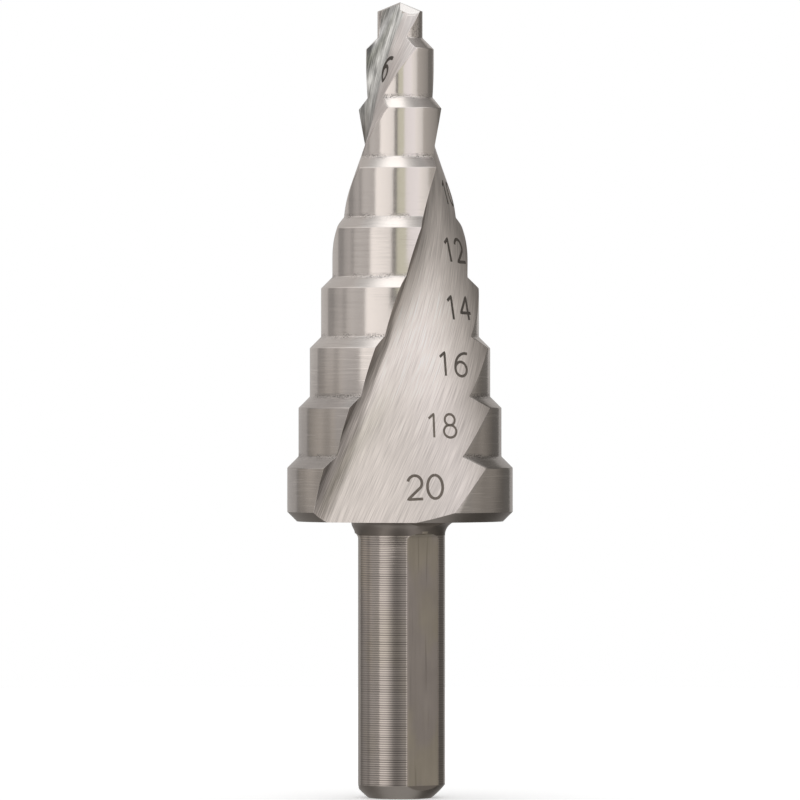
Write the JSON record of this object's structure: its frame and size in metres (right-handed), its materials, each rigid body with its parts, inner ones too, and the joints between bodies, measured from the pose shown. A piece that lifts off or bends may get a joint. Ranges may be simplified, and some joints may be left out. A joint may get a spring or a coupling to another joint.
{
  "type": "step drill",
  "caption": "Conical stepped drill bit ground with helical flutes, a split point and a round shank that has milled clamping flats.",
  "frame": {"origin": "centre of the shank's end face, which the drill stands on", "axes": "+Z along the drill's axis towards its point; the camera side is -Y, where the lower flute opens"},
  "size_m": [0.02, 0.018, 0.0705],
  "materials": {
    "ground_steel": "ground and turned bare high-speed steel, with fine grinding lines"
  },
  "bodies": {
    "root": {"step_drill": "ground_steel"}
  },
  "joints": []
}
